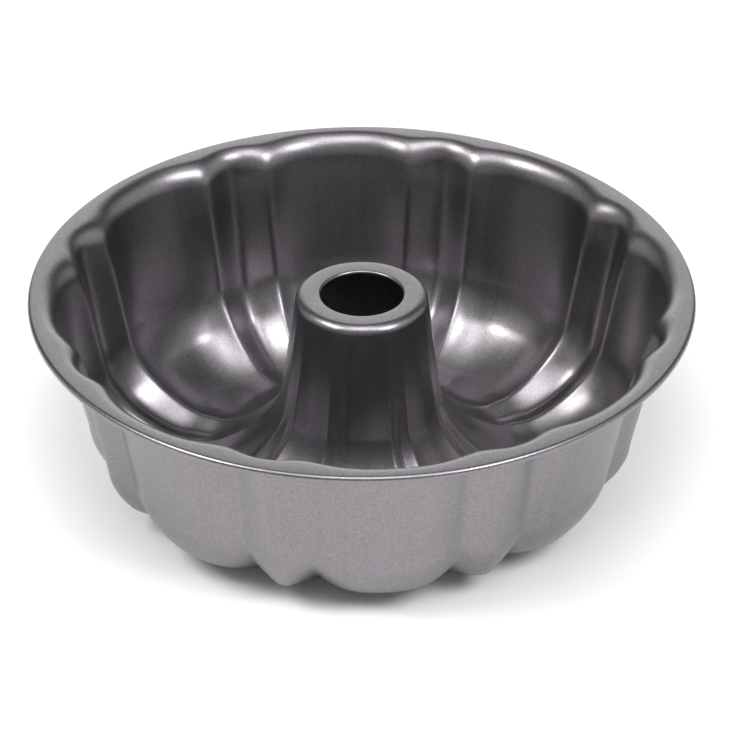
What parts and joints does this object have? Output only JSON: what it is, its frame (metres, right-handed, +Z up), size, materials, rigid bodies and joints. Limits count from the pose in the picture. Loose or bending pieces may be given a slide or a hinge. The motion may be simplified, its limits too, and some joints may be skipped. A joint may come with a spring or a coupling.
{
  "type": "bundt pan",
  "caption": "Round fluted ring cake tin with a central tube, scalloped wall of wide and narrow lobes, and a flat rim rolled over a wire.",
  "frame": {"origin": "on the pan's axis, in the plane it stands on", "axes": "+Z up along the tube's axis; a wide lobe is centred on each of +X, -X, +Y and -Y"},
  "size_m": [0.26, 0.26, 0.085],
  "materials": {
    "nonstick_coating": "satin dark grey metallic non-stick coating on drawn steel sheet",
    "wire_steel": "bare drawn steel wire, hidden in the rolled rim"
  },
  "bodies": {
    "root": {"pan_shell": "nonstick_coating", "rim_wire": "wire_steel"}
  },
  "joints": []
}
